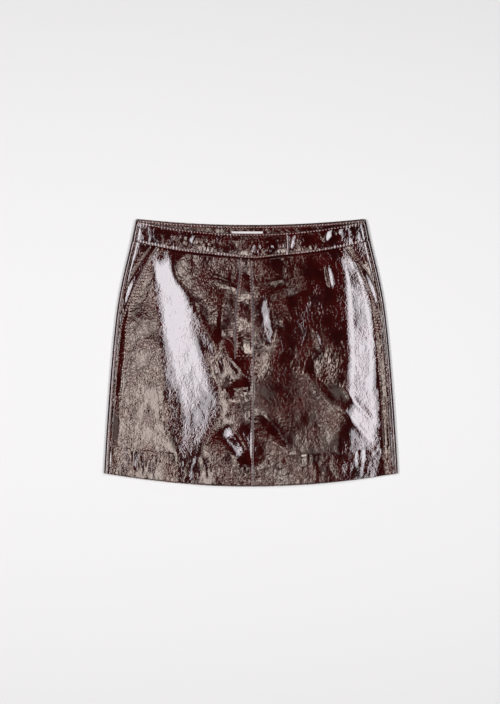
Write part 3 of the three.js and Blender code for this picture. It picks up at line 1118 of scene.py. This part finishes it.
def stitchLines():
    rows = []
    leftBand = lambda x, y: bandHeight(x, y, True)
    rightBand = lambda x, y: bandHeight(x, y, False)
    leftFront = lambda x, y: panelHeight(x, y, -1)
    rightFront = lambda x, y: panelHeight(x, y, 1)
    leftX = np.linspace(-seamX(lines["seamFront"]) + 3, band["tabEnd"] - band["tabStitch"], 180)
    rightX = np.linspace(band["tabEnd"] + 2, seamX(lines["seamFront"]) - 6, 90)
    for x, height in ((leftX, leftBand), (rightX, rightBand)):
        rows.append(sampled(x, lineY(lines["topFront"], x) - band["topStitch"], height))
        rows.append(sampled(x, lineY(lines["seamFront"], x) + band["lowStitch"], height))
    tabX = band["tabEnd"] - band["tabStitch"]
    tabY = np.linspace(lineY(lines["seamFront"], tabX) + 5, lineY(lines["topFront"], tabX) - 5, 24)
    rows.append(sampled(tabX, tabY, leftBand))
    flyY = np.linspace(fly["bottom"] + fly["stitchIn"], lineY(lines["seamFront"], -18) - 2, 90)
    rows.append(sampled(flyLeft(flyY) + fly["stitchIn"], flyY, leftFront))
    flyX = np.linspace(-24 + fly["stitchIn"] + 3, 0, 16)
    rows.append(sampled(flyX, fly["bottom"] + fly["stitchIn"], leftFront))
    centreY = np.linspace(lineY(lines["hemFront"], 0) + 2, fly["bottom"] - 4, 110)
    rows.append(sampled(centreFront(centreY) - 2, centreY, leftFront))
    openY = np.linspace(fly["bottom"] + 6, lineY(lines["seamFront"], 0) - 2, 80)
    rows.append(sampled(centreFront(openY) - 2.2, openY, leftFront))
    for side, height in ((-1, leftFront), (1, rightFront)):
        for inset in (front["stitchIn"], front["secondStitchIn"]):
            y = np.linspace(pocket["end"] + 3, lineY(lines["seamFront"], pocket["mouth"] - inset) - 2, 80)
            rows.append(sampled(side * (pocketX(y) - inset / pocket["lean"]), y, height))
    x = np.linspace(-176, 176, 200)
    high = lineBetween(lines["seamBack"], lines["topBack"], facing["high"])
    rows.append(sampled(x, lineY(high, x) - facing["stitchIn"], facingTop))
    return rows


def stitchTree():
    tree = bpy.data.node_groups.new("stitchRow", "GeometryNodeTree")
    face = tree.interface
    face.new_socket("Geometry", in_out="INPUT", socket_type="NodeSocketGeometry")
    for name in ("Pitch", "Length", "Width", "Depth"):
        face.new_socket(name, in_out="INPUT", socket_type="NodeSocketFloat")
    face.new_socket("Seed", in_out="INPUT", socket_type="NodeSocketInt")
    face.new_socket("Geometry", in_out="OUTPUT", socket_type="NodeSocketGeometry")
    given = add(tree, "NodeGroupInput")
    result = add(tree, "NodeGroupOutput")
    points = add(tree, "GeometryNodeResampleCurve", {"mode": "LENGTH"},
                 {"Curve": given.outputs["Geometry"], "Length": given.outputs["Pitch"]})
    ball = add(tree, "GeometryNodeMeshUVSphere", None, {"Segments": 8, "Rings": 6, "Radius": 0.5})
    size = add(tree, "ShaderNodeCombineXYZ", None,
               {"X": given.outputs["Length"], "Y": given.outputs["Width"], "Z": given.outputs["Depth"]})
    bead = add(tree, "GeometryNodeTransform", None,
               {"Geometry": ball.outputs["Mesh"], "Scale": size.outputs[0]})
    along = add(tree, "GeometryNodeInputTangent")
    aim = add(tree, "FunctionNodeAlignRotationToVector", {"axis": "X"}, {"Vector": along.outputs[0]})
    sway = add(tree, "FunctionNodeRandomValue", {"data_type": "FLOAT_VECTOR"},
               {0: (-0.02, -0.02, -0.09), 1: (0.02, 0.02, 0.09), "Seed": given.outputs["Seed"]})
    turn = add(tree, "FunctionNodeRotateRotation", {"rotation_space": "LOCAL"},
               {0: aim.outputs[0], 1: sway.outputs[0]})
    placed = add(tree, "GeometryNodeInstanceOnPoints", None,
                 {"Points": points.outputs[0], "Instance": bead.outputs[0], "Rotation": turn.outputs[0]})
    real = add(tree, "GeometryNodeRealizeInstances", None, {"Geometry": placed.outputs[0]})
    smooth = add(tree, "GeometryNodeSetShadeSmooth", None, {"Geometry": real.outputs[0]})
    dressed = add(tree, "GeometryNodeSetMaterial", None,
                  {"Geometry": smooth.outputs[0], "Material": threadPaintedHighlightMaterial})
    tree.links.new(dressed.outputs[0], result.inputs[0])
    return tree


def setInputs(modifier, values):
    for socket in modifier.node_group.interface.items_tree:
        if socket.in_out == "INPUT" and socket.name in values:
            modifier[socket.identifier] = values[socket.name]


def stitching(name, rows):
    curve = bpy.data.curves.new(name + "Lines", "CURVE")
    curve.dimensions = "3D"
    for row in rows:
        spline = curve.splines.new("POLY")
        spline.points.add(len(row) - 1)
        spline.points.foreach_set("co", np.concatenate([row * 0.001, np.ones((len(row), 1))], 1).ravel())
    guide = bpy.data.objects.new(name + "Lines", curve)
    bpy.context.collection.objects.link(guide)
    modifier = guide.modifiers.new("stitches", "NODES")
    modifier.node_group = stitchTree()
    setInputs(modifier, {
        "Pitch": holes["pitch"] * 0.001,
        "Length": stitch["length"] * 0.001,
        "Width": stitch["width"] * 0.001,
        "Depth": stitch["depth"] * 0.001,
        "Seed": stitch["seed"],
    })
    graph = bpy.context.evaluated_depsgraph_get()
    mesh = bpy.data.meshes.new_from_object(guide.evaluated_get(graph))
    mesh.name = name
    piece = bpy.data.objects.new(name, mesh)
    bpy.context.collection.objects.link(piece)
    bpy.data.objects.remove(guide)
    return piece


print("stitching")
stitches = stitching("stitching", stitchLines())


# Every piece rides on the one body and stands for its solid

standsFor = {
    "front_left": frontLeft,
    "front_right": frontRight,
    "fly_shield": flyStrip,
    "pocket_facing_left": facingLeft,
    "pocket_facing_right": facingRight,
    "back_panel": backPiece,
    "waistband_front_left": waistLeft,
    "waistband_front_right": waistRight,
    "waistband_back": waistBack,
    "waistband_facing": backFacing,
    "waist_label": labelPiece,
    "stud_cap": studPiece,
}
finish = {"waist_label": (labelMaterial, "label"), "stud_cap": (studMaterial, "stud")}

for node, piece in standsFor.items():
    material, slot = finish.get(node, (leatherMaterial, "leather"))
    piece.data.materials.append(material)
    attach(piece, "root")
    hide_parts(node)
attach(stitches, "root")


# Floor, light and camera

# metres
room = {"floorSize": 8.0, "floorDrop": 0.0003, "floorColour": "#DFE2DE", "world": 0.015}


def studioFloor():
    r = room["floorSize"] / 2
    mesh = bpy.data.meshes.new("floor")
    z = -room["floorDrop"]
    mesh.from_pydata([(-r, -r, z), (r, -r, z), (r, r, z), (-r, r, z)], [], [(0, 1, 2, 3)])
    floor = bpy.data.objects.new("floor", mesh)
    bpy.context.collection.objects.link(floor)
    material, tree, shader = newMaterial("mattPaper")
    shader.inputs["Base Color"].default_value = linear(room["floorColour"])
    shader.inputs["Roughness"].default_value = 0.9
    mesh.materials.append(material)
    floor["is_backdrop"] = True


# name, middle in metres, width and length, brightness as radiance; a bright core hangs a little
# below the wider box that it is added to, and the warm panels hang higher
warm, cool = "#EBDDD3", "#FAF6FC"
boxes = [
    ("leftBox", (-0.855, 0.0, 1.8), (0.66, 1.8), 6.3, cool),
    ("leftCore", (-0.855, -0.08, 1.79), (0.38, 1.5), 5.8, cool),
    ("rightBox", (0.855, 0.0, 1.8), (0.62, 1.8), 6.3, cool),
    ("rightCore", (0.855, -0.22, 1.79), (0.34, 1.4), 5.8, cool),
    ("ceilingLeft", (-0.34, -0.29, 2.99), (0.15, 0.62), 6.0, warm),
    ("ceilingLeftEdge", (-0.34, -0.29, 3.0), (0.32, 0.84), 3.2, warm),
    ("ceilingRight", (0.1, -0.52, 2.99), (0.13, 0.2), 7.0, warm),
    ("ceilingRightEdge", (0.16, -0.42, 3.0), (0.36, 0.44), 1.2, warm),
    ("ceilingFly", (0.05, 0.03, 2.99), (0.18, 0.26), 8.5, warm),
    ("ceilingFlyEdge", (0.04, 0.05, 3.0), (0.28, 0.38), 2.6, warm),
    ("ceilingUpper", (-0.23, 0.45, 2.99), (0.18, 0.15), 5.5, warm),
    ("ceilingUpperEdge", (-0.23, 0.45, 3.0), (0.3, 0.26), 2.6, warm),
    ("ceilingMiddle", (0.0, 0.9, 3.0), (0.14, 0.2), 4.0, warm),
]


def lighting():
    for name, place, size, glow, colour in boxes:
        lamp = bpy.data.lights.new(name, "AREA")
        lamp.shape = "RECTANGLE"
        lamp.size, lamp.size_y = size
        lamp.energy = glow * math.pi * lamp.size * lamp.size_y
        lamp.color = linear(colour)[:3]
        holder = bpy.data.objects.new(name, lamp)
        holder.location = place
        holder.visible_camera = False
        bpy.context.collection.objects.link(holder)
    world = bpy.data.worlds.new("room")
    world.use_nodes = True
    world.node_tree.nodes["Background"].inputs["Color"].default_value = linear("#F4F4F6")
    world.node_tree.nodes["Background"].inputs["Strength"].default_value = room["world"]
    bpy.context.scene.world = world


camera = {"x": -1.6, "y": 1.3, "height": 2600, "seen": 1126.4, "sensor": 36}


def overheadCamera():
    data = bpy.data.cameras.new("camera")
    data.sensor_width = camera["sensor"]
    data.lens = camera["sensor"] * camera["height"] / camera["seen"]
    eye = bpy.data.objects.new("camera", data)
    eye.location = (camera["x"] * 0.001, camera["y"] * 0.001, camera["height"] * 0.001)
    bpy.context.collection.objects.link(eye)
    bpy.context.scene.camera = eye


studioFloor()
lighting()
overheadCamera()
bpy.context.scene.view_settings.view_transform = "Standard"
print("room, lights and camera")

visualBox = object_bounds()
plain = lambda box: [[round(c, 6) for c in corner] for corner in box]
{"cad": plain(cadBox), "visual": plain(visualBox)}
